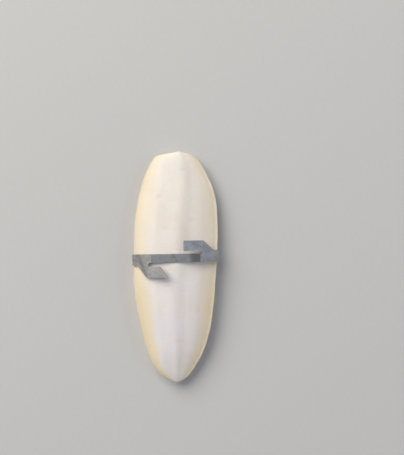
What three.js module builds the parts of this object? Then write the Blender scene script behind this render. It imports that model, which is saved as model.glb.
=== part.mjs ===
import * as THREE from 'three';
import { mergeVertices } from 'three/addons/utils/BufferGeometryUtils.js';

// A cuttlebone with the stamped steel clip that holds it to a bird cage. Millimetres, +Z up.
// The bone lies on its belly, its ribbed back up and its blunt hind end towards +Y.

// Bone
const halfLength = 67.7;
const ringsAlong = 58;
const stepsAround = 60;
const fullness = 1.5; // how squarely the back and the belly meet the margin

// Outline: place along Y, then the left and the right margin in X
const outline = [
  [67.7, 1.5, 1.5],
  [67.3, -1.4, 4.6],
  [66.2, -7.4, 8.1],
  [64.9, -11.7, 10.4],
  [62.6, -13.7, 13.0],
  [58.0, -16.1, 16.3],
  [53.0, -18.3, 19.0],
  [46.0, -20.4, 22.0],
  [38.0, -22.2, 23.9],
  [25.0, -23.9, 24.7],
  [11.0, -24.4, 24.6],
  [0.0, -24.4, 24.0],
  [-8.0, -24.6, 23.5],
  [-22.0, -22.8, 22.4],
  [-36.0, -19.9, 20.4],
  [-50.0, -16.2, 16.2],
  [-59.4, -11.5, 10.9],
  [-64.2, -6.9, 7.3],
  [-66.7, -2.7, 3.9],
  [-67.7, 0.6, 0.6],
];

// Side profile: place along Y, then the height of the margin, of the back and of the belly
const profile = [
  [67.7, 6.8, 6.8, 6.8],
  [66.6, 6.4, 9.0, 5.3],
  [63.0, 6.0, 10.9, 4.3],
  [56.0, 6.0, 12.5, 3.4],
  [44.0, 6.8, 14.4, 2.3],
  [30.0, 7.9, 15.8, 1.0],
  [14.0, 9.0, 16.7, -0.1],
  [-2.0, 9.7, 17.0, -0.7],
  [-18.0, 9.7, 16.7, -0.8],
  [-34.0, 9.1, 15.5, -0.5],
  [-48.0, 8.2, 13.6, 0.9],
  [-58.0, 7.6, 11.6, 2.9],
  [-65.0, 7.2, 9.3, 5.1],
  [-67.7, 7.1, 7.1, 7.1],
];

// Ribs and a furrow of the back: place across at the blunt end and at the tip, bow off the line
// between them, and widths to the left and right of the crest, all in half widths, then the height
const ribs = [
  [-0.5, -0.52, 0.0, 0.17, 0.14, 0.35],
  [0.41, 0.11, -0.25, 0.18, 0.13, 0.5],
  [0.69, 0.4, -0.25, 0.12, 0.12, -0.5],
  [0.88, 0.58, -0.25, 0.14, 0.2, 0.22],
];

// Clip
const sheet = 0.5;
const clipCentre = [0, 5.2];
const clipTurn = THREE.MathUtils.degToRad(1);
const barTop = 18.3;
const barHalfWidth = 2.45;
const barHalfLength = 14.6; // to the corner of the bend
const kneeReach = 22.4; // the ends turn steeper here
const kneeHeight = 13.0;
const endHeight = 9.4; // of the corner at the margin
const clawRun = 6.0; // how far the claw reaches back under the margin
const clawDrop = 6.3;
const clawHalfWidth = 1.7; // at its tip
const bendRadius = 1.5;
const bendSteps = 4;
const slotEnd = 15.8; // the slots between the bar and the hooks run out to here
const hookTilt = THREE.MathUtils.degToRad(27);

// Each end: how far out its corner at the margin is, and the corners of its hook, as distances out
// from the middle and sideways from the bar's middle
const rightEnd = {
  reach: 26.0, inner: 4.0, outer: 10.1, tipInner: 5.0, tipOuter: 5.0, shoulder: 16.3, margin: 4.3,
};
const leftEnd = {
  reach: 25.6, inner: 4.7, outer: 11.3, tipInner: 8.9, tipOuter: 4.1, shoulder: 16.8, margin: 4.0,
};

const angleAt = (y) => Math.acos(y / halfLength);

// The value of a table's column at an angle, on a smooth curve through its rows
function valueAt(table, column, angle) {
  const last = table.length - 1;
  let row = 0;
  while (row < last - 1 && angle > angleAt(table[row + 1][0])) row += 1;
  const slope = (index) => {
    const before = table[Math.max(index - 1, 0)];
    const after = table[Math.min(index + 1, last)];
    return (after[column] - before[column]) / (angleAt(after[0]) - angleAt(before[0]));
  };
  const start = angleAt(table[row][0]);
  const step = angleAt(table[row + 1][0]) - start;
  const part = (angle - start) / step;
  const from = table[row][column];
  const to = table[row + 1][column];
  const blend = part * part * (3 - 2 * part);
  const ease = part * (1 - part);
  return from + (to - from) * blend + step * ease * (slope(row) * (1 - part) - slope(row + 1) * part);
}

// The height that the ribs and the furrow add at a place across the back
function ribRelief(across, angle) {
  const fade = Math.sin(angle) ** 0.8;
  let relief = 0;
  for (const [blunt, tip, bow, leftWidth, rightWidth, height] of ribs) {
    const crest = THREE.MathUtils.lerp(blunt, tip, angle / Math.PI) + bow * Math.sin(angle);
    const width = across < crest ? leftWidth : rightWidth;
    relief += height * Math.exp(-(((across - crest) / width) ** 2));
  }
  return relief * fade;
}

// A point of the bone's surface: an angle from the blunt end to the tip, and a turn about the length
function bonePoint(angle, turn) {
  const left = valueAt(outline, 1, angle);
  const right = valueAt(outline, 2, angle);
  const across = Math.cos(turn);
  const x = (left + right) / 2 + (across * (right - left)) / 2;
  const bulge = Math.abs(Math.sin(turn)) ** fullness;
  const margin = valueAt(profile, 1, angle);
  const onBack = Math.sin(turn) > 0;
  const height = valueAt(profile, onBack ? 2 : 3, angle) - margin;
  const relief = onBack ? ribRelief(across, angle) * bulge : 0;
  const z = Math.max(margin + height * bulge + relief, 0);
  return new THREE.Vector3(x, halfLength * Math.cos(angle), z);
}

function boneGeometry() {
  const ball = new THREE.SphereGeometry(1, stepsAround, ringsAlong);
  ball.deleteAttribute('uv');
  ball.deleteAttribute('normal');
  const spots = ball.attributes.position;
  for (let i = 0; i < spots.count; i += 1) {
    const angle = Math.acos(THREE.MathUtils.clamp(spots.getY(i), -1, 1));
    const turn = Math.atan2(spots.getZ(i), spots.getX(i));
    spots.setXYZ(i, ...bonePoint(angle, turn));
  }
  const bone = mergeVertices(ball);
  turnOutward(bone);
  return bone;
}

// Reverses the faces of a closed geometry if they point inwards
function turnOutward(geometry) {
  const corners = geometry.index.array;
  const spots = geometry.attributes.position;
  const spot = (i) => new THREE.Vector3().fromBufferAttribute(spots, corners[i]);
  let volume = 0;
  for (let i = 0; i < corners.length; i += 3) {
    volume += spot(i).dot(spot(i + 1).cross(spot(i + 2)));
  }
  if (volume < 0) corners.reverse();
}

// Half of the clip's middle sheet seen from its edge: straight runs joined by round bends
function clipRun(reach) {
  const middle = barTop - sheet / 2;
  const corners = [
    new THREE.Vector2(0, middle),
    new THREE.Vector2(barHalfLength, middle),
    new THREE.Vector2(kneeReach, kneeHeight),
    new THREE.Vector2(reach, endHeight),
    new THREE.Vector2(reach - clawRun, endHeight - clawDrop),
  ];
  const run = [{ spot: corners[0], angle: 0 }];
  for (let i = 1; i < corners.length - 1; i += 1) {
    const inward = corners[i].clone().sub(corners[i - 1]).normalize();
    const onward = corners[i + 1].clone().sub(corners[i]).normalize();
    const bend = inward.angleTo(onward);
    const back = bendRadius * Math.tan(bend / 2);
    const first = Math.atan2(inward.y, inward.x);
    const hub = corners[i].clone().addScaledVector(inward, -back);
    hub.add(new THREE.Vector2(inward.y, -inward.x).multiplyScalar(bendRadius));
    for (let k = 0; k <= bendSteps; k += 1) {
      const angle = first - (bend * k) / bendSteps;
      const spot = new THREE.Vector2(-Math.sin(angle), Math.cos(angle));
      run.push({ spot: spot.multiplyScalar(bendRadius).add(hub), angle });
    }
  }
  run.push({ spot: corners[corners.length - 1], angle: run[run.length - 1].angle });
  return run;
}

// A closed sheet over flat patches; each corner is { middle, out }, its spot and its normal
function sheetGeometry(patches) {
  const triangles = [];
  const rims = new Map();
  const name = ({ middle }) => middle.toArray().map((value) => Math.round(value * 1000)).join(' ');
  const side = ({ middle, out }, way) => middle.clone().addScaledVector(out, (way * sheet) / 2);
  const addFace = (...spots) => {
    for (let i = 2; i < spots.length; i += 1) triangles.push(spots[0], spots[i - 1], spots[i]);
  };
  for (const patch of patches) {
    addFace(...patch.map((corner) => side(corner, 1)));
    addFace(...patch.map((corner) => side(corner, -1)).reverse());
    patch.forEach((from, i) => {
      const to = patch[(i + 1) % patch.length];
      const opposite = `${name(to)}|${name(from)}`;
      if (!rims.delete(opposite)) rims.set(`${name(from)}|${name(to)}`, [from, to]);
    });
  }
  for (const [from, to] of rims.values()) {
    addFace(side(from, 1), side(from, -1), side(to, -1), side(to, 1));
  }
  const geometry = new THREE.BufferGeometry().setFromPoints(triangles);
  return mergeVertices(geometry, 1e-4);
}

// One half of the clip: half of the bar, the sloping end, its hook and its claw
function halfClip(end) {
  const run = clipRun(end.reach);
  const slopeStart = run[1 + bendSteps];
  const slopeEnd = run[2 + bendSteps];
  const onSlope = (x) => {
    const part = (x - slopeStart.spot.x) / (slopeEnd.spot.x - slopeStart.spot.x);
    return { spot: slopeStart.spot.clone().lerp(slopeEnd.spot, part), angle: slopeStart.angle };
  };
  const corner = ({ spot, angle }, y) => ({
    middle: new THREE.Vector3(spot.x, y, spot.y),
    out: new THREE.Vector3(-Math.sin(angle), 0, Math.cos(angle)),
  });
  const patches = [];
  const addPatch = (from, to, fromLow, fromHigh, toLow, toHigh) => {
    patches.push([corner(from, fromLow), corner(to, toLow), corner(to, toHigh), corner(from, fromHigh)]);
  };
  const low = -barHalfWidth;
  const high = barHalfWidth;
  // The bar, out to the end of the slot
  const slot = onSlope(slotEnd);
  const shoulder = onSlope(end.shoulder);
  const bar = [...run.slice(0, 2 + bendSteps), slot];
  for (let i = 1; i < bar.length; i += 1) addPatch(bar[i - 1], bar[i], low, high, low, high);
  // The sloping end, in three lanes
  const fold = { spot: slot.spot, angle: (slot.angle - hookTilt) / 2 };
  addPatch(slot, shoulder, low, high, low, high);
  addPatch(shoulder, slopeEnd, low, high, low, high);
  patches.push([
    corner(slot, high),
    corner(shoulder, high),
    corner(shoulder, end.inner),
    corner(fold, end.inner),
  ]);
  addPatch(shoulder, slopeEnd, high, end.inner, high, end.margin);
  addPatch(fold, shoulder, end.inner, end.outer, end.inner, end.outer);
  patches.push([corner(shoulder, end.inner), corner(slopeEnd, end.margin), corner(shoulder, end.outer)]);
  // The hook, folded up a little and reaching back beside the bar
  const onHook = (x) => ({
    spot: new THREE.Vector2(x, slot.spot.y + (slotEnd - x) * Math.tan(hookTilt)),
    angle: -hookTilt,
  });
  patches.push([
    corner(onHook(end.tipInner), end.inner),
    corner(fold, end.inner),
    corner(fold, end.outer),
    corner(onHook(end.tipOuter), end.outer),
  ]);
  // The steep end past the knee, and the claw round the margin and back under it
  const claw = run.slice(2 + bendSteps);
  for (let i = 1; i < claw.length; i += 1) {
    const isClaw = i === claw.length - 1;
    const narrow = isClaw ? clawHalfWidth : high;
    addPatch(claw[i - 1], claw[i], low, high, -narrow, narrow);
    if (!isClaw) addPatch(claw[i - 1], claw[i], high, end.margin, high, end.margin);
  }
  return patches;
}

// The right half, then the left half turned half round about the middle
function clipGeometry() {
  const halfTurn = new THREE.Matrix4().makeRotationZ(Math.PI);
  const left = halfClip(leftEnd).map((patch) => patch.map(({ middle, out }) => ({
    middle: middle.applyMatrix4(halfTurn),
    out: out.transformDirection(halfTurn),
  })));
  const clip = sheetGeometry([...halfClip(rightEnd), ...left]);
  turnOutward(clip);
  return clip;
}

const shell = new THREE.MeshStandardMaterial({ color: 0xf2ebdd, roughness: 0.85, metalness: 0 });
const steel = new THREE.MeshStandardMaterial({ color: 0xa4a8ad, roughness: 0.42, metalness: 0.9 });

const bone = new THREE.Mesh(boneGeometry(), shell);
bone.name = 'cuttlebone';

const clip = new THREE.Mesh(clipGeometry(), steel);
clip.name = 'holder_clip';
clip.position.set(clipCentre[0], clipCentre[1], 0);
clip.rotation.z = clipTurn;

// The origin is under the middle of the whole
const whole = new THREE.Group();
whole.add(bone, clip);
const box = new THREE.Box3().setFromObject(whole, true);
const middle = box.getCenter(new THREE.Vector3());
whole.position.set(-middle.x, -middle.y, -box.min.z);

export default whole;
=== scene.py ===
import math

import bmesh
import bpy
from mathutils import Matrix, Vector, noise


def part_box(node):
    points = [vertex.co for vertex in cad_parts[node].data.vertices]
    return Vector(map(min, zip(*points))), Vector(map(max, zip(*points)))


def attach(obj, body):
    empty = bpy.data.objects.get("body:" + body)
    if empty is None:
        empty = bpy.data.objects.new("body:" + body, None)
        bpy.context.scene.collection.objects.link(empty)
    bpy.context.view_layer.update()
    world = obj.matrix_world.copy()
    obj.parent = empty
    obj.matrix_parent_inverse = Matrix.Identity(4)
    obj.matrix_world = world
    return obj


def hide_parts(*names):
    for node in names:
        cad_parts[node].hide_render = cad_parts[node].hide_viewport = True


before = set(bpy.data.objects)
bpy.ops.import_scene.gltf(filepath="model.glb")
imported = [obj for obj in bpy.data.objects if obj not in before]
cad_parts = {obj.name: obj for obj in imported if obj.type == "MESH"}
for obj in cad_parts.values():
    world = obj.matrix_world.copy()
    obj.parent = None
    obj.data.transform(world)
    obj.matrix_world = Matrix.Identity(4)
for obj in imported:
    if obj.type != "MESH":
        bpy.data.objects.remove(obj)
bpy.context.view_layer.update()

# A cuttlebone held round the middle by its stamped cage clip.
# The ribbed back is up and the blunt hind end points to +Y. Sizes are in millimetres until the
# pieces are finished, and mm is what one of them measures in the frame.

boneLow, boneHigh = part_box("cuttlebone")

bone = {
    "length": 135.4,
    "stepsAround": 150,  # of the mesh, round a section
    "rings": 612,  # sections from end to end
    "evenRings": 0.35,  # moves rings from the ends to the middle
    "thinning": 1.5,  # how soon the back and the belly thin towards the margin
    "rightThinning": 2.3,  # the same for the back's right flank, which is flatter
    # place along, left margin, right margin
    "outline": [
        [67.7, 1.5, 1.5], [67.25, -0.6, 3.8], [66.2, -7.4, 8.1], [64.9, -11.7, 10.4],
        [62.6, -13.7, 13.0], [58.0, -16.1, 16.3], [53.0, -18.3, 19.0], [46.0, -20.4, 22.0],
        [38.0, -22.2, 23.9], [25.0, -23.9, 24.7], [11.0, -24.4, 24.6], [0.0, -24.4, 24.0],
        [-8.0, -24.6, 23.5], [-22.0, -22.8, 22.4], [-36.0, -19.9, 20.4], [-50.0, -16.2, 16.2],
        [-59.4, -11.5, 10.9], [-64.2, -6.9, 7.3], [-66.7, -2.7, 3.9], [-67.7, 0.6, 0.6],
    ],
    # place along, height of the margin, of the back and of the belly
    "profile": [
        [67.7, 6.8, 6.8, 6.8], [66.6, 6.4, 9.0, 5.3], [63.0, 6.0, 10.9, 4.3], [56.0, 6.0, 12.5, 3.4],
        [44.0, 6.8, 14.4, 2.3], [30.0, 7.9, 15.8, 1.0], [14.0, 9.0, 16.7, -0.1],
        [-2.0, 9.7, 17.0, -0.7], [-18.0, 9.7, 16.7, -0.8], [-34.0, 9.1, 15.5, -0.5],
        [-48.0, 8.2, 13.6, 0.9], [-58.0, 7.6, 11.6, 2.9], [-65.0, 7.2, 9.3, 5.1],
        [-67.7, 7.1, 7.1, 7.1],
    ],
    # the back: each rib's place across at the blunt end and at the tip, how far it bows off the
    # line between them, its width to the left and right of its crest, and its height (a furrow's
    # is negative), with the places and widths in half widths of the bone
    "ribs": [
        [-0.5, -0.52, 0.0, 0.17, 0.14, 0.35], [0.41, 0.11, -0.25, 0.18, 0.13, 0.5],
        [0.69, 0.4, -0.25, 0.12, 0.21, -0.5],
    ],
    "endFade": 0.8,  # how soon the ribs and growth lines fade towards the ends
    "ribWander": 0.01,
    "wanderLength": 9.0,
    "sweepPower": 2.2,  # the growth lines and the belly's arches run straight at the middle
    "growthSweep": 20.0,  # how far the growth lines run back at the margins
    "growthSpacing": 2.7,
    "growthWander": 1.2,
    "growthHeight": 0.05,
    "growthSteep": 0.12,  # the steep part of each growth line
    # unevenness of the back: height and size of the swells and of the small ones
    "swells": (0.12, 7.0),
    "smallSwells": (0.05, 2.8),
    # scars: place across and along, radius, depth (a negative depth is a grain that stands up)
    "scars": [
        [-9.6, 41.0, 1.5, 0.24], [-3.8, 51.4, 1.3, -0.16], [-4.4, 34.4, 1.2, -0.14],
        [-10.3, -9.4, 1.3, 0.22], [-6.2, 22.5, 1.0, 0.12], [9.8, 27.0, 1.4, 0.12],
        [13.5, -26.0, 1.6, 0.16], [1.8, -44.0, 1.2, 0.14], [-13.0, -33.0, 1.1, 0.12],
        [4.6, 57.0, 1.4, 0.16], [15.5, 14.0, 1.2, 0.1], [5.2, -14.5, 1.0, 0.1],
    ],
    # the horny margin
    "hornWidth": 0.9,
    "hornTaper": 12.0,  # it narrows where the bone's half width is less than this
    "hornAtEnds": 0.6,  # its share of its width at the ends
    "hornAbove": 0.55,
    "hornBelow": 0.35,
    "hornRound": 0.7,  # how roundly its edge rises
    "hornWobble": 0.14,
    # stains: between where, out from the middle, each comes in
    "hornComesIn": (0.8, 1.0),
    "flankComesIn": (0.5, 0.85),
    "rightFlank": 0.7,  # the right flank's share of its stain
    # the belly
    "archSweep": 25.0,  # how far the arches run back at the margins
    "archWander": 0.8,
    "loculusEdge": -13.0,  # in front of this the last chamber is smooth
    "loculusSlope": 0.8,
    "loculusStep": 0.3,
    "striaSpacing": 1.15,
    "striaWander": 0.5,
    "striaDepth": 0.17,
    "sulcusDepth": 0.55,
    "sulcusWidth": 0.09,
    "sulcusComesIn": (-12.0, 10.0),
    "coneReach": 62.5,  # the inner cone's limbs run on an ellipse
    "coneHalfWidth": 16.5,
    "coneComesIn": (-6.0, 8.0),
    "limbHeight": 0.45,
    "limbWidth": 0.055,
    "limbComesIn": (-4.0, 12.0),
    # the cone's cup: where it deepens along the bone, and towards the ellipse its wall
    "cupDepth": 2.2,
    "cupDeepens": (38.0, 56.0),
    "cupWall": (-0.35, -0.03),
    "groundGap": 0.02,  # the belly is flattened this far above the ground
}

mm = (boneHigh.y - boneLow.y) / bone["length"]
boneShift = boneLow.x / mm - min(row[1] for row in bone["outline"])


def smoothStep(low, high, value):
    part = min(max((value - low) / (high - low), 0.0), 1.0)
    return part * part * (3 - 2 * part)


def bell(value, width):
    return math.exp(-((value / width) ** 2))


# Smooth noise between -1 and 1, whose swells are about as wide as the size
def unevenness(x, y, z, size):
    return noise.noise(Vector((x / size, y / size, z / size)))


# Places along the bone are angles, 0 at the blunt end and pi at the tip, so that both ends come
# out round
def alongAngle(y):
    return math.acos(max(-1.0, min(1.0, 2 * y / bone["length"])))


# All the values of a table at one angle, on smooth curves through its rows
def tableAt(table, angle):
    places = [alongAngle(row[0]) for row in table]
    last = len(table) - 1
    row = 0
    while row < last - 1 and angle > places[row + 1]:
        row += 1
    gap = places[row + 1] - places[row]
    part = (angle - places[row]) / gap
    values = []
    for column in range(1, len(table[0])):
        slopes = []
        for index in (row, row + 1):
            before, after = max(index - 1, 0), min(index + 1, last)
            rise = table[after][column] - table[before][column]
            slopes.append(rise / (places[after] - places[before]))
        start, end = table[row][column], table[row + 1][column]
        straight = start + (end - start) * part * part * (3 - 2 * part)
        curved = gap * part * (1 - part) * (slopes[0] * (1 - part) - slopes[1] * part)
        values.append(straight + curved)
    return values


# What the back's ribs, growth lines and unevenness add to its height
def backRelief(x, y, across, angle):
    fade = math.sin(angle) ** bone["endFade"]
    relief = 0.0
    for blunt, tip, bow, leftWidth, rightWidth, height in bone["ribs"]:
        crest = blunt + (tip - blunt) * angle / math.pi + bow * math.sin(angle)
        wander = bone["ribWander"] * math.sin(y / bone["wanderLength"] + blunt * 20)
        offset = across - crest - wander
        relief += height * bell(offset, leftWidth if offset < 0 else rightWidth)
    relief *= fade
    swept = y - bone["growthSweep"] * abs(across) ** bone["sweepPower"]
    wander = bone["growthWander"] * unevenness(x * 0.3, swept, 3.0, 11.0)
    phase = swept / bone["growthSpacing"] + wander
    tooth = phase - math.floor(phase)
    rise = smoothStep(0.0, bone["growthSteep"], tooth)
    relief += bone["growthHeight"] * (1 - tooth) * rise * fade
    swell, swellSize = bone["swells"]
    small, smallSize = bone["smallSwells"]
    relief += swell * unevenness(x, y * 0.6, 0.0, swellSize) + small * unevenness(x, y, 8.0, smallSize)
    return relief


# How deep the scars are at a place on the back
def scarDepth(x, y):
    depth = 0.0
    for scarX, scarY, radius, deep in bone["scars"]:
        distance = math.hypot(x - scarX - boneShift, y - scarY)
        if distance < 3 * radius:
            depth += deep * bell(distance, radius)
    return depth


# How deep the belly's striae, furrow and cone are cut, and how much a spot is stria or last chamber
def bellyRelief(x, y, across):
    arch = y - bone["archSweep"] * abs(across) ** bone["sweepPower"]
    arch += bone["archWander"] * unevenness(x, y * 0.3, 20.0, 10.0)
    ellipse = math.hypot((x - boneShift) / bone["coneHalfWidth"], y / bone["coneReach"]) - 1
    inside = 1 - smoothStep(-0.05, 0.0, ellipse) * smoothStep(*bone["coneComesIn"], y)
    hind = smoothStep(0.0, bone["loculusSlope"], arch - bone["loculusEdge"]) * inside
    wander = bone["striaWander"] * unevenness(x, y, 30.0, 6.0)
    phase = arch / bone["striaSpacing"] + wander
    tooth = phase - math.floor(phase)
    groove = 1 - smoothStep(0.0, 0.3, tooth) + smoothStep(0.75, 1.0, tooth)
    cut = hind * (bone["loculusStep"] + bone["striaDepth"] * groove)
    sulcus = bone["sulcusDepth"] * bell(across, bone["sulcusWidth"]) * hind
    cut += sulcus * smoothStep(*bone["sulcusComesIn"], y)
    cup = bone["cupDepth"] * smoothStep(*bone["cupDeepens"], y)
    cut += cup * (1 - smoothStep(*bone["cupWall"], ellipse))
    limb = bell(ellipse, bone["limbWidth"]) * smoothStep(*bone["limbComesIn"], y)
    cut -= bone["limbHeight"] * limb
    return cut, hind * groove, 1 - hind


# Moves a spot of the unit ball to the bone's surface, and notes what it is made of there
def boneSpot(angle, turn, outline, profile):
    left, right = outline
    margin, back, belly = profile
    halfWidth = (right - left) / 2
    across = math.cos(turn)
    y = bone["length"] / 2 * math.cos(angle)
    x = (left + right) / 2 + across * halfWidth + boneShift
    side = math.sin(turn)
    horn = bone["hornWidth"] * min(1.0, halfWidth / bone["hornTaper"])
    horn *= bone["hornAtEnds"] + (1 - bone["hornAtEnds"]) * math.sin(angle)
    flesh = max(halfWidth - horn, 0.001) / max(halfWidth, 0.001)
    inner = min(abs(across) / flesh, 1.0)
    thinning = bone["rightThinning"] if across > 0 and side >= 0 else bone["thinning"]
    bulge = (1 - inner * inner) ** (thinning / 2)
    marks = {
        "horn": smoothStep(*bone["hornComesIn"], inner),
        "flank": smoothStep(*bone["flankComesIn"], inner),
        "stria": 0.0,
        "chamber": 0.0,
        "belly": smoothStep(0.0, 0.15, -side),
    }
    if across >= 0:
        marks["flank"] *= bone["rightFlank"]
    if side >= 0:
        height = (back - margin) * bulge
        height += (backRelief(x, y, across, angle) - scarDepth(x, y)) * bulge ** 0.5
        edge = bone["hornAbove"] * side ** bone["hornRound"]
        z = margin + (max(height, 0.0) ** 3 + edge ** 3) ** (1 / 3)
        # painted shade: on the back the mark darkens the scars' pits, the more the deeper they are
        marks["stria"] = max(scarDepth(x, y), 0.0) * 2
    else:
        cut, marks["stria"], marks["chamber"] = bellyRelief(x, y, across)
        height = max((margin - belly) * bulge - cut * bulge ** 0.5, 0.0)
        edge = bone["hornBelow"] * (-side) ** bone["hornRound"]
        z = margin - (height ** 3 + edge ** 3) ** (1 / 3)
        ground = cut * bulge + bone["groundGap"] if bulge > 0.5 else 0.0
        z = max(z, ground)
    wobble = bone["hornWobble"] * unevenness(x, y, z, 5.0) * abs(across) ** 6
    return Vector((x + wobble * across, y, z)) * mm, marks


# The bone: a ball whose every spot is moved to the bone's surface
def growBone():
    bm = bmesh.new()
    bmesh.ops.create_uvsphere(
        bm, u_segments=bone["stepsAround"], v_segments=bone["rings"], radius=1.0)
    bmesh.ops.rotate(bm, verts=bm.verts, matrix=Matrix.Rotation(-math.pi / 2, 3, "X"))
    markNames = ("horn", "flank", "stria", "chamber", "belly")
    layers = {name: bm.verts.layers.float.new(name) for name in markNames}
    ringTables = {}
    for vert in bm.verts:
        turn = math.atan2(vert.co.z, vert.co.x)
        angle = math.acos(max(-1.0, min(1.0, vert.co.y)))
        angle += bone["evenRings"] * math.sin(2 * angle) / 2
        ring = round(angle, 5)  # its vertices share what the tables say
        if ring not in ringTables:
            ringTables[ring] = tableAt(bone["outline"], angle), tableAt(bone["profile"], angle)
        vert.co, marks = boneSpot(angle, turn, *ringTables[ring])
        for name, value in marks.items():
            vert[layers[name]] = value
    return finishPiece("cuttlebone_whole", bm, "cuttlebone")


# Makes an object of a bmesh, with its place in its mesh, parents it to the root body and hides the
# node's CAD part that it stands in for
def finishPiece(name, bm, node):
    bmesh.ops.recalc_face_normals(bm, faces=bm.faces)
    mesh = bpy.data.meshes.new(name)
    bm.to_mesh(mesh)
    bm.free()
    mesh.shade_smooth()
    piece = bpy.data.objects.new(name, mesh)
    bpy.context.scene.collection.objects.link(piece)
    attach(piece, "root")
    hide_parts(node)
    return piece


clip = {
    "sheet": 0.5,
    "centre": (0.0, 5.2),
    "turn": math.radians(1),  # off the line square to the bone
    "barTop": 18.3,
    "barHalfWidth": 2.45,
    "barHalfLength": 14.6,
    "knee": (22.4, 13.0),  # the ends turn steeper here
    "endHeight": 9.4,
    "clawRun": 6.0,
    "clawDrop": 6.3,
    "clawHalfWidth": 1.7,
    "bendRadius": 1.5,
    "bendSteps": 8,
    "slotEnd": 15.8,  # where the slot between the bar and a hook ends
    "slotSteps": 6,
    "hookTilt": math.radians(27),
    "cornerRadius": 0.45,
    "cornerSteps": 4,
    "edgeRadius": 0.12,
    "edgeSteps": 2,
    "edgeAngle": math.radians(40),  # edges sharper than this are worn round
    "hookGap": 0.2,  # what is farther than this from the bar's side is the hook
    # each end: how far out its corner at the margin is, its hook's inner and outer side and its far
    # side at the margin, sideways from the bar's middle, and the hook's corners, out from the middle
    "rightEnd": {
        "reach": 26.0, "inner": 4.0, "outer": 10.1, "margin": 4.3,
        "tipInner": 5.0, "tipOuter": 5.0, "shoulder": 16.3,
    },
    "leftEnd": {
        "reach": 25.6, "inner": 4.7, "outer": 11.3, "margin": 4.0,
        "tipInner": 8.9, "tipOuter": 4.1, "shoulder": 16.8,
    },
}


# Sheet seen from its edge, as steps of (distance along it, place): straight runs and round bends
def bentRun(corners):
    radius = clip["bendRadius"]
    run = [(0.0, corners[0])]
    for before, corner, after in zip(corners, corners[1:], corners[2:]):
        inward = (corner - before).normalized()
        onward = (after - corner).normalized()
        bend = inward.angle(onward)
        start = corner - inward * radius * math.tan(bend / 2)
        hub = start + Vector((inward.y, -inward.x)) * radius
        first = math.atan2(inward.y, inward.x)
        for k in range(clip["bendSteps"] + 1):
            angle = first - bend * k / clip["bendSteps"]
            spot = hub + Vector((-math.sin(angle), math.cos(angle))) * radius
            gap = (spot - run[-1][1]).length if k == 0 else radius * bend / clip["bendSteps"]
            run.append((run[-1][0] + gap, spot))
    run.append((run[-1][0] + (corners[-1] - run[-1][1]).length, corners[-1]))
    return run


# Where the straight slope between the bar and the knee starts and ends
def slopeOf(run):
    return run[1 + clip["bendSteps"]], run[2 + clip["bendSteps"]]


# How far along the sheet a spot of the slope is
def alongSlope(run, x):
    start, end = slopeOf(run)
    return start[0] + (x - start[1].x) * (end[0] - start[0]) / (end[1].x - start[1].x)


# The clip's half from the middle to the claw, and its hook, which leaves the slope at the slot's end
def halfRuns(end):
    middle = clip["barTop"] - clip["sheet"] / 2
    knee = Vector(clip["knee"])
    margin = Vector((end["reach"], clip["endHeight"]))
    claw = margin - Vector((clip["clawRun"], clip["clawDrop"]))
    run = bentRun([Vector((0.0, middle)), Vector((clip["barHalfLength"], middle)), knee, margin, claw])
    start, finish = slopeOf(run)
    foldAlong = alongSlope(run, clip["slotEnd"])
    fold = start[1].lerp(finish[1], (foldAlong - start[0]) / (finish[0] - start[0]))
    tilt = clip["hookTilt"]
    tip = fold + Vector((-math.cos(tilt), math.sin(tilt))) * clip["slotEnd"]
    hook = bentRun([tip, fold, knee])
    shift = alongSlope(run, hook[-2][1].x) - hook[-2][0]
    return run, [(distance + shift, place) for distance, place in hook]


# Half of the flat blank's outline, from the claw's low side round its hook to the slot's end, as
# (distance along, distance sideways, whether the corner is rounded)
def halfBlank(end, run):
    slopeEnd = slopeOf(run)[1][0]
    slotEnd = alongSlope(run, clip["slotEnd"])
    high = clip["barHalfWidth"]
    bent = run[-2][0]

    def alongHook(x):
        return slotEnd - (clip["slotEnd"] - x) / math.cos(clip["hookTilt"])

    outline = [
        (bent, -high, True), (run[-1][0], -clip["clawHalfWidth"], True),
        (run[-1][0], clip["clawHalfWidth"], True), (bent, end["margin"], True),
        (slopeEnd, end["margin"], True), (alongSlope(run, end["shoulder"]), end["outer"], True),
        (alongHook(end["tipOuter"]), end["outer"], True),
        (alongHook(end["tipInner"]), end["inner"], True),
    ]
    slotRadius = (end["inner"] - high) / 2
    for k in range(clip["slotSteps"] + 1):
        angle = math.pi / 2 - math.pi * k / clip["slotSteps"]
        along = slotEnd - slotRadius + slotRadius * math.cos(angle)
        outline.append((along, high + slotRadius + slotRadius * math.sin(angle), False))
    return outline


# The place on a bent run at a distance along it
def placeOn(run, along):
    index = 0
    while index < len(run) - 2 and along > run[index + 1][0] + 1e-6:
        index += 1
    here, there = run[index], run[index + 1]
    return here[1].lerp(there[1], (along - here[0]) / (there[0] - here[0]))


# Whether a spot of the flat blank is on the hook, which reaches to the end of its bend into the
# slope
def onHook(spot, hook):
    return abs(spot.y) > clip["barHalfWidth"] + clip["hookGap"] and abs(spot.x) < hook[-2][0]


# Folds a spot of the flat blank
def folded(spot, runs):
    side = 1 if spot.x >= 0 else -1
    run, hook = runs[side]
    place = placeOn(hook if onHook(spot, hook) else run, abs(spot.x))
    return Vector((place.x * side, spot.y, place.y))


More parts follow.
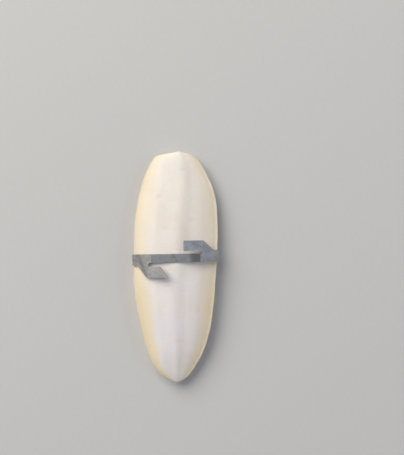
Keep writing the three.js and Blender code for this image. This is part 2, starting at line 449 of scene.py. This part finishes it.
# The clip: a flat blank cut across at every bend, folded, and given the sheet's thickness
def foldClip():
    runs = {1: halfRuns(clip["rightEnd"]), -1: halfRuns(clip["leftEnd"])}
    right = halfBlank(clip["rightEnd"], runs[1][0])
    left = halfBlank(clip["leftEnd"], runs[-1][0])
    left = [(-along, -sideways, sharp) for along, sideways, sharp in left]
    bm = bmesh.new()
    corners, rounded = [], []
    for along, sideways, sharp in right + left:
        corners.append(bm.verts.new((along, sideways, 0.0)))
        if sharp:
            rounded.append(corners[-1])
    bm.faces.new(corners)
    bmesh.ops.bevel(
        bm, geom=rounded, affect="VERTICES", offset=clip["cornerRadius"],
        segments=clip["cornerSteps"], profile=0.5, material=-1)
    for side, (run, hook) in runs.items():
        for distance, place in run[1:-1] + hook[1:-1]:
            whole = list(bm.verts) + list(bm.edges) + list(bm.faces)
            bmesh.ops.bisect_plane(
                bm, geom=whole, plane_co=(distance * side, 0, 0), plane_no=(1, 0, 0))
    bend = bm.verts.layers.float.new("bend")
    for vert in bm.verts:
        vert[bend] = bentAt(abs(vert.co.x), runs[1 if vert.co.x >= 0 else -1][0])
        vert.co = folded(vert.co, runs)
    bmesh.ops.rotate(bm, verts=bm.verts, matrix=Matrix.Rotation(clip["turn"], 3, "Z"))
    centre = Vector((clip["centre"][0] + boneShift, clip["centre"][1], 0.0))
    bmesh.ops.translate(bm, verts=bm.verts, vec=centre)
    bmesh.ops.scale(bm, verts=bm.verts, vec=(mm, mm, mm))
    piece = finishPiece("cage_clip", bm, "holder_clip")
    wall = piece.modifiers.new("sheet", "SOLIDIFY")
    wall.thickness = clip["sheet"] * mm
    wall.offset = 0
    wall.use_even_offset = True
    edges = piece.modifiers.new("worn edges", "BEVEL")
    edges.width = clip["edgeRadius"] * mm
    edges.segments = clip["edgeSteps"]
    edges.limit_method = "ANGLE"
    edges.angle_limit = clip["edgeAngle"]
    edges.harden_normals = True
    return piece


# 1 inside a bend at the bar's end, the knee or the margin, and 0 on the flats
def bentAt(along, run):
    for first in (1, 2 + clip["bendSteps"], 3 + 2 * clip["bendSteps"]):
        start, end = run[first][0], run[first + clip["bendSteps"]][0]
        if start + 1e-4 < along < end - 1e-4:
            return 1.0
    return 0.0


# A number over a surface: Python's operators on it add Math nodes
class Amount:
    def __init__(self, recipe, socket):
        self.recipe = recipe
        self.socket = socket

    def maths(self, operation, *values):
        inputs = dict(enumerate(values))
        return self.recipe.amount("Math", {"operation": operation}, inputs)

    def __add__(self, other):
        return self.maths("ADD", self, other)

    def __sub__(self, other):
        return self.maths("SUBTRACT", self, other)

    def __rsub__(self, other):
        return self.maths("SUBTRACT", other, self)

    def __mul__(self, other):
        return self.maths("MULTIPLY", self, other)

    def __abs__(self):
        return self.maths("ABSOLUTE", self)

    __radd__ = __add__
    __rmul__ = __mul__


# One tree of shader nodes, of a material or of the world
class Recipe:
    def __init__(self, owner):
        owner.use_nodes = True
        self.tree = owner.node_tree
        self.tree.nodes.clear()

    # Adds a node: its settings first, then its sockets' values or links
    def add(self, kind, settings=None, sockets=None):
        node = self.tree.nodes.new("ShaderNode" + kind)
        for name, value in (settings or {}).items():
            if name == "stops":
                self.setStops(node.color_ramp.elements, value)
            else:
                setattr(node, name, value)
        for name, value in (sockets or {}).items():
            source = value.socket if isinstance(value, Amount) else value
            if isinstance(source, bpy.types.NodeSocket):
                self.tree.links.new(source, node.inputs[name])
            else:
                node.inputs[name].default_value = source
        return node

    def setStops(self, elements, stops):
        while len(elements) < len(stops):
            elements.new(0.5)
        for element, (position, value) in zip(elements, stops):
            element.position = position
            element.color = (value, value, value, 1)

    def amount(self, kind, settings=None, sockets=None, output=0):
        return Amount(self, self.add(kind, settings, sockets).outputs[output])

    def objectSpace(self, scale=(1, 1, 1)):
        spots = self.add("TexCoord").outputs["Object"]
        return self.add("Mapping", None, {"Vector": spots, "Scale": scale}).outputs[0]

    def noise(self, space, scale, detail, roughness=0.55):
        inputs = {"Vector": space, "Scale": scale, "Detail": detail, "Roughness": roughness}
        return self.amount("TexNoise", None, inputs)

    # 0 below one amount and 1 above another, on a straight or on a smooth rise
    def ramp(self, amount, low, high):
        return self.amount("ValToRGB", {"stops": [(low, 0.0), (high, 1.0)]}, {"Fac": amount})

    def step(self, amount, low, high):
        inputs = {"Value": amount, "From Min": low, "From Max": high}
        return self.amount("MapRange", {"interpolation_type": "SMOOTHSTEP"}, inputs)

    # A value that the mesh carries at its vertices
    def mark(self, name):
        return self.amount("Attribute", {"attribute_name": name}, None, "Fac")

    # One colour laid over another where the amount says
    def mix(self, amount, under, over):
        inputs = {0: amount, 6: under, 7: over}
        return self.add("Mix", {"data_type": "RGBA"}, inputs).outputs[2]

    def bump(self, height, distance, strength, normal=None):
        inputs = {"Height": height, "Distance": distance, "Strength": strength}
        if normal:
            inputs["Normal"] = normal
        return self.add("Bump", None, inputs).outputs[0]

    def finish(self, surface):
        self.add("OutputMaterial", None, {"Surface": surface})


def newMaterial(name):
    material = bpy.data.materials.new(name)
    return material, Recipe(material)


shell = {
    # how fine each pattern is
    "clouds": 55.0,
    "streaks": 160.0,
    "streakLength": 0.22,
    "speckle": 900.0,
    "pimples": 950.0,
    "grain": 2600.0,
    # where along the bone the colours change, in millimetres
    "paleToChalk": (-50.0, 40.0),
    "tipShadeEnds": (-64.0, -42.0),
    "flankFades": (-25.0, 15.0),
    # how strongly each colour is laid over the others
    "tipShadeAmount": 0.7,
    "creamAmount": 0.6,
    "dustAmount": 0.5,
    "flankAtTip": 0.9,
    "flankAtBluntEnd": 0.4,
    "speckleAmount": 0.3,
    "chamberAmount": 0.6,
    "striaAmount": 0.4,
    # colours
    # the lower half's paler colour is the bone's own; its bluish tint is painted cool light
    "pale": (0.85, 0.815, 0.85, 1),
    "chalk": (0.87, 0.815, 0.755, 1),
    "cream": (0.84, 0.77, 0.685, 1),
    "dust": (0.89, 0.86, 0.82, 1),
    "flank": (0.84, 0.725, 0.51, 1),
    # grey of the painted shade towards the tip
    "tip": (0.72, 0.70, 0.72, 1),
    "horn": (0.74, 0.62, 0.42, 1),
    "shade": (0.60, 0.50, 0.38, 1),
    "chamber": (0.86, 0.82, 0.76, 1),
}


# Dry chalky shell: a fine grain, faint cream clouds, stained flanks and a horn-coloured margin, with
# painted shade towards the tip and in the scars' pits, and a bluish tint of painted cool light on the
# lower half
def shellMaterial():
    material, recipe = newMaterial("chalky shell")
    space = recipe.objectSpace()
    longSpace = recipe.objectSpace((1, shell["streakLength"], 1))
    horn, stria = recipe.mark("horn"), recipe.mark("stria")
    chamber, belly, flank = recipe.mark("chamber"), recipe.mark("belly"), recipe.mark("flank")
    clouds = recipe.noise(space, shell["clouds"], 5.0)
    streaks = recipe.noise(longSpace, shell["streaks"], 4.0)
    speckle = recipe.noise(space, shell["speckle"], 3.0)
    grain = recipe.noise(space, shell["grain"], 3.0, 0.6)
    cells = {"Vector": space, "Scale": shell["pimples"]}
    pimples = recipe.amount("TexVoronoi", {"feature": "SMOOTH_F1"}, cells)
    pimples = recipe.ramp(pimples, 0.0, 0.8)
    along = Amount(recipe, recipe.add("SeparateXYZ", None, {0: space}).outputs["Y"]) * (1 / mm)
    chalkiness = recipe.step(along, *shell["paleToChalk"])
    # painted shade: the colour turns greyer towards the tip
    tip = (1 - recipe.step(along, *shell["tipShadeEnds"])) * shell["tipShadeAmount"]
    cloudy = recipe.ramp(clouds, 0.42, 0.68) * shell["creamAmount"]
    dusty = recipe.ramp(streaks, 0.45, 0.7) * shell["dustAmount"]
    stained = shell["flankAtBluntEnd"] - shell["flankAtTip"]
    stained = shell["flankAtTip"] + stained * recipe.step(along, *shell["flankFades"])
    specked = recipe.ramp(speckle, 0.66, 0.74) * shell["speckleAmount"]
    colour = recipe.mix(chalkiness, shell["pale"], shell["chalk"])
    colour = recipe.mix(tip, colour, shell["tip"])
    colour = recipe.mix(cloudy, colour, shell["cream"])
    colour = recipe.mix(dusty, colour, shell["dust"])
    colour = recipe.mix(flank * stained, colour, shell["flank"])
    colour = recipe.mix(specked, colour, shell["shade"])
    colour = recipe.mix(belly * chamber * shell["chamberAmount"], colour, shell["chamber"])
    # tan bands in the belly's striae, and painted shade in the scars' pits on the back
    colour = recipe.mix(stria * shell["striaAmount"], colour, shell["shade"])
    colour = recipe.mix(horn * (0.3 + 0.3 * clouds), colour, shell["horn"])
    roughness = 0.78 + 0.14 * clouds - 0.3 * horn - 0.2 * belly * chamber
    soft = recipe.bump(streaks + 0.6 * speckle, 0.0004, 0.25)
    roughHeight = (1 - pimples) * (1 - 0.8 * belly * chamber) + 0.35 * grain
    rough = recipe.bump(roughHeight, 0.00012, 0.45, soft)
    shader = recipe.add("BsdfPrincipled", None, {
        "Base Color": colour,
        "Roughness": roughness,
        "Normal": rough,
        "Subsurface Weight": 0.25,
        "Subsurface Radius": (1.0, 0.75, 0.5),
        "Subsurface Scale": 0.0012,
        "Specular IOR Level": 0.35,
    })
    recipe.finish(shader.outputs[0])
    return material


steel = {
    # how fine each pattern is
    "clouds": 180.0,
    "rolling": 2400.0,
    "rollingLength": 0.05,
    "bands": 620.0,
    "specks": 1500.0,
    # how strongly each colour is laid over the others
    "cloudAmount": 0.6,
    "bandAmount": 0.4,
    "bendShadeAmount": 0.15,
    "paintedHookShadeAmount": 0.75,
    "speckAmount": 0.4,
    # colours
    "plate": (0.48, 0.485, 0.50, 1),
    "dull": (0.28, 0.29, 0.305, 1),
    # dark colour of the real scratches and specks, and of the painted shade
    "stainAndShade": (0.16, 0.16, 0.16, 1),
    # painted shade, in millimetres: a dark patch painted on the bar before the right bend stands in
    # for the right hook's shade; where across the clip it starts, is full, fades and ends, and where
    # along the bone it fades towards the hook
    "paintedHookShade": (7.0, 10.5, 14.0, 14.5),
    "paintedHookShadeEdge": (8.0, 9.0),
    # a spot on each scratch, the direction square to it, how far out it is full and ends, and its
    # strength; the second is no scratch but a dark band painted along the left knee's crease, a
    # painted reflection
    "scratchesAndPaintedCrease": [
        [-1.1, 6.25, 0.818, 0.576, 0.1, 0.5, 0.4], [-21.2, 5.0, 0.938, 0.346, 0.4, 1.4, 0.4],
        [-12.5, -3.0, 0.5, 0.866, 0.1, 0.5, 0.2], [9.0, 14.0, 0.3, 0.954, 0.1, 0.4, 0.2],
    ],
}


# Plated sheet steel: rolling marks along it, dull clouds, small scratches, a few dark specks, and
# painted shade in the bends, along the left knee's crease and on the bar's right end
def steelMaterial():
    material, recipe = newMaterial("plated steel")
    space = recipe.objectSpace()
    rolled = recipe.objectSpace((steel["rollingLength"], 1, 1))
    clouds = recipe.noise(space, steel["clouds"], 5.0, 0.6)
    rolling = recipe.noise(rolled, steel["rolling"], 3.0, 0.5)
    bands = recipe.noise(rolled, steel["bands"], 2.0)
    specks = recipe.ramp(recipe.noise(space, steel["specks"], 2.0), 0.68, 0.76)
    spot = recipe.add("SeparateXYZ", None, {0: space})
    across, along = [Amount(recipe, spot.outputs[axis]) * (1 / mm) for axis in "XY"]
    # painted shade of the right hook on the bar's right end, not tarnish
    start, full, fade, end = steel["paintedHookShade"]
    paintedHookShade = recipe.step(across, start, full) * (1 - recipe.step(across, fade, end))
    paintedHookShade = paintedHookShade * (1 - recipe.step(along, *steel["paintedHookShadeEdge"]))
    marks = paintedHookShade * steel["paintedHookShadeAmount"]
    # real scratches, plus the painted dark reflection along the left knee's crease
    for x, y, squareX, squareY, wide, end, strength in steel["scratchesAndPaintedCrease"]:
        offLine = (across - x) * squareX + (along - y) * squareY
        marks = marks + (1 - recipe.step(abs(offLine), wide, end)) * strength
    cloudy = recipe.ramp(clouds, 0.38, 0.66) * steel["cloudAmount"]
    banded = recipe.ramp(bands, 0.45, 0.7) * steel["bandAmount"]
    colour = recipe.mix(cloudy, steel["plate"], steel["dull"])
    colour = recipe.mix(banded, colour, steel["dull"])
    # painted shade: the sheet is darkened inside every bend
    colour = recipe.mix(recipe.mark("bend") * steel["bendShadeAmount"], colour, steel["stainAndShade"])
    colour = recipe.mix(marks, colour, steel["stainAndShade"])
    colour = recipe.mix(specks * steel["speckAmount"], colour, steel["stainAndShade"])
    roughness = 0.32 + 0.16 * clouds + 0.10 * rolling + 0.2 * specks
    fine = recipe.bump(rolling, 0.00005, 0.35)
    dents = recipe.bump(clouds, 0.0005, 0.3, fine)
    shader = recipe.add("BsdfPrincipled", None, {
        "Base Color": colour,
        "Metallic": 1.0,
        "Roughness": roughness,
        "Normal": dents,
    })
    recipe.finish(shader.outputs[0])
    return material


# Stage, camera and light, in metres
studio = {
    "floorSize": 2.6,
    "floorTones": [(0.60, 0.60, 0.60, 1), (0.63, 0.63, 0.625, 1)],
    "viewHeight": 0.2671,  # what the view's long side takes in
    "viewOffset": (15.56, 23.04),  # of the view's middle from the bone's, in millimetres
    "lens": 180.0,
    "sensor": 36.0,
    # the sky from the horizon up, warm on the left and cool on the right
    "horizon": (0.55, 0.55, 0.55, 1),
    "lowSky": (0.94, 0.86, 0.73, 1),
    "warmSky": (0.40, 0.37, 0.36, 1),
    "coolSky": (0.13, 0.18, 0.28, 1),
    "highSky": (0.14, 0.165, 0.22, 1),
    # each light's name, size, power, colour and place
    "lights": [
        ["key", 1.4, 26.3, (1.0, 0.955, 0.86), (-0.78, 0.86, 1.15)],
        ["side", 0.35, 1.4, (0.88, 0.96, 1.0), (1.1, 0.0, 1.06)],
        ["low bounce", 0.12, 0.8, (1.0, 0.82, 0.62), (0.75, -0.55, 0.07)],
        ["high bounce", 0.12, 0.6, (1.0, 0.85, 0.62), (0.7, 0.6, 0.07)],
    ],
}


# A pale board under the bone, which isn't part of it
def layFloor():
    bm = bmesh.new()
    bmesh.ops.create_grid(bm, x_segments=2, y_segments=2, size=studio["floorSize"] / 2)
    mesh = bpy.data.meshes.new("floor")
    bm.to_mesh(mesh)
    bm.free()
    floor = bpy.data.objects.new("floor", mesh)
    bpy.context.scene.collection.objects.link(floor)
    material, recipe = newMaterial("pale board")
    mottle = recipe.noise(recipe.objectSpace(), 400.0, 3.0)
    colour = recipe.mix(mottle, *studio["floorTones"])
    shader = recipe.add("BsdfPrincipled", None, {"Base Color": colour, "Roughness": 0.8})
    recipe.finish(shader.outputs[0])
    mesh.materials.append(material)


# The camera looks straight down, as far off as the lens needs
def placeCamera():
    data = bpy.data.cameras.new("camera")
    data.lens = studio["lens"]
    data.sensor_width = studio["sensor"]
    data.clip_end = 50.0
    camera = bpy.data.objects.new("camera", data)
    bpy.context.scene.collection.objects.link(camera)
    offsetX, offsetY = studio["viewOffset"]
    distance = studio["viewHeight"] * studio["lens"] / studio["sensor"]
    marginHeight = max(row[1] for row in bone["profile"]) * mm
    camera.location = ((offsetX + boneShift) * mm, offsetY * mm, marginHeight + distance)
    bpy.context.scene.camera = camera


# A square light that faces the middle of the stage
def addLight(name, size, power, colour, place):
    data = bpy.data.lights.new(name, "AREA")
    data.size = size
    data.energy = power
    data.color = colour
    light = bpy.data.objects.new(name, data)
    light.location = place
    light.rotation_euler = (-Vector(place)).to_track_quat("-Z", "Y").to_euler()
    bpy.context.scene.collection.objects.link(light)


# A dim sky round a soft key light from the upper left
def lightStudio():
    world = bpy.data.worlds.new("studio")
    bpy.context.scene.world = world
    recipe = Recipe(world)
    heading = recipe.add("SeparateXYZ", None, {0: recipe.add("TexCoord").outputs["Generated"]})
    rightward = Amount(recipe, heading.outputs["X"]) * 0.5 + 0.5
    height = Amount(recipe, heading.outputs["Z"])
    colour = recipe.mix(rightward, studio["warmSky"], studio["coolSky"])
    colour = recipe.mix(recipe.ramp(height, 0.1, 0.4), studio["lowSky"], colour)
    colour = recipe.mix(recipe.ramp(height, 0.05, 0.08), studio["horizon"], colour)
    colour = recipe.mix(recipe.ramp(height, 0.6, 0.9), colour, studio["highSky"])
    sky = recipe.add("Background", None, {"Color": colour, "Strength": 1.0})
    recipe.add("OutputWorld", None, {"Surface": sky.outputs[0]})
    for row in studio["lights"]:
        addLight(*row)
    bpy.context.scene.view_settings.view_transform = "Standard"


print("growing the bone")
wholeBone = growBone()
wholeBone.data.materials.append(shellMaterial())
print("folding the clip")
cageClip = foldClip()
cageClip.data.materials.append(steelMaterial())
print("setting the stage")
layFloor()
placeCamera()
lightStudio()

print("pieces in place")
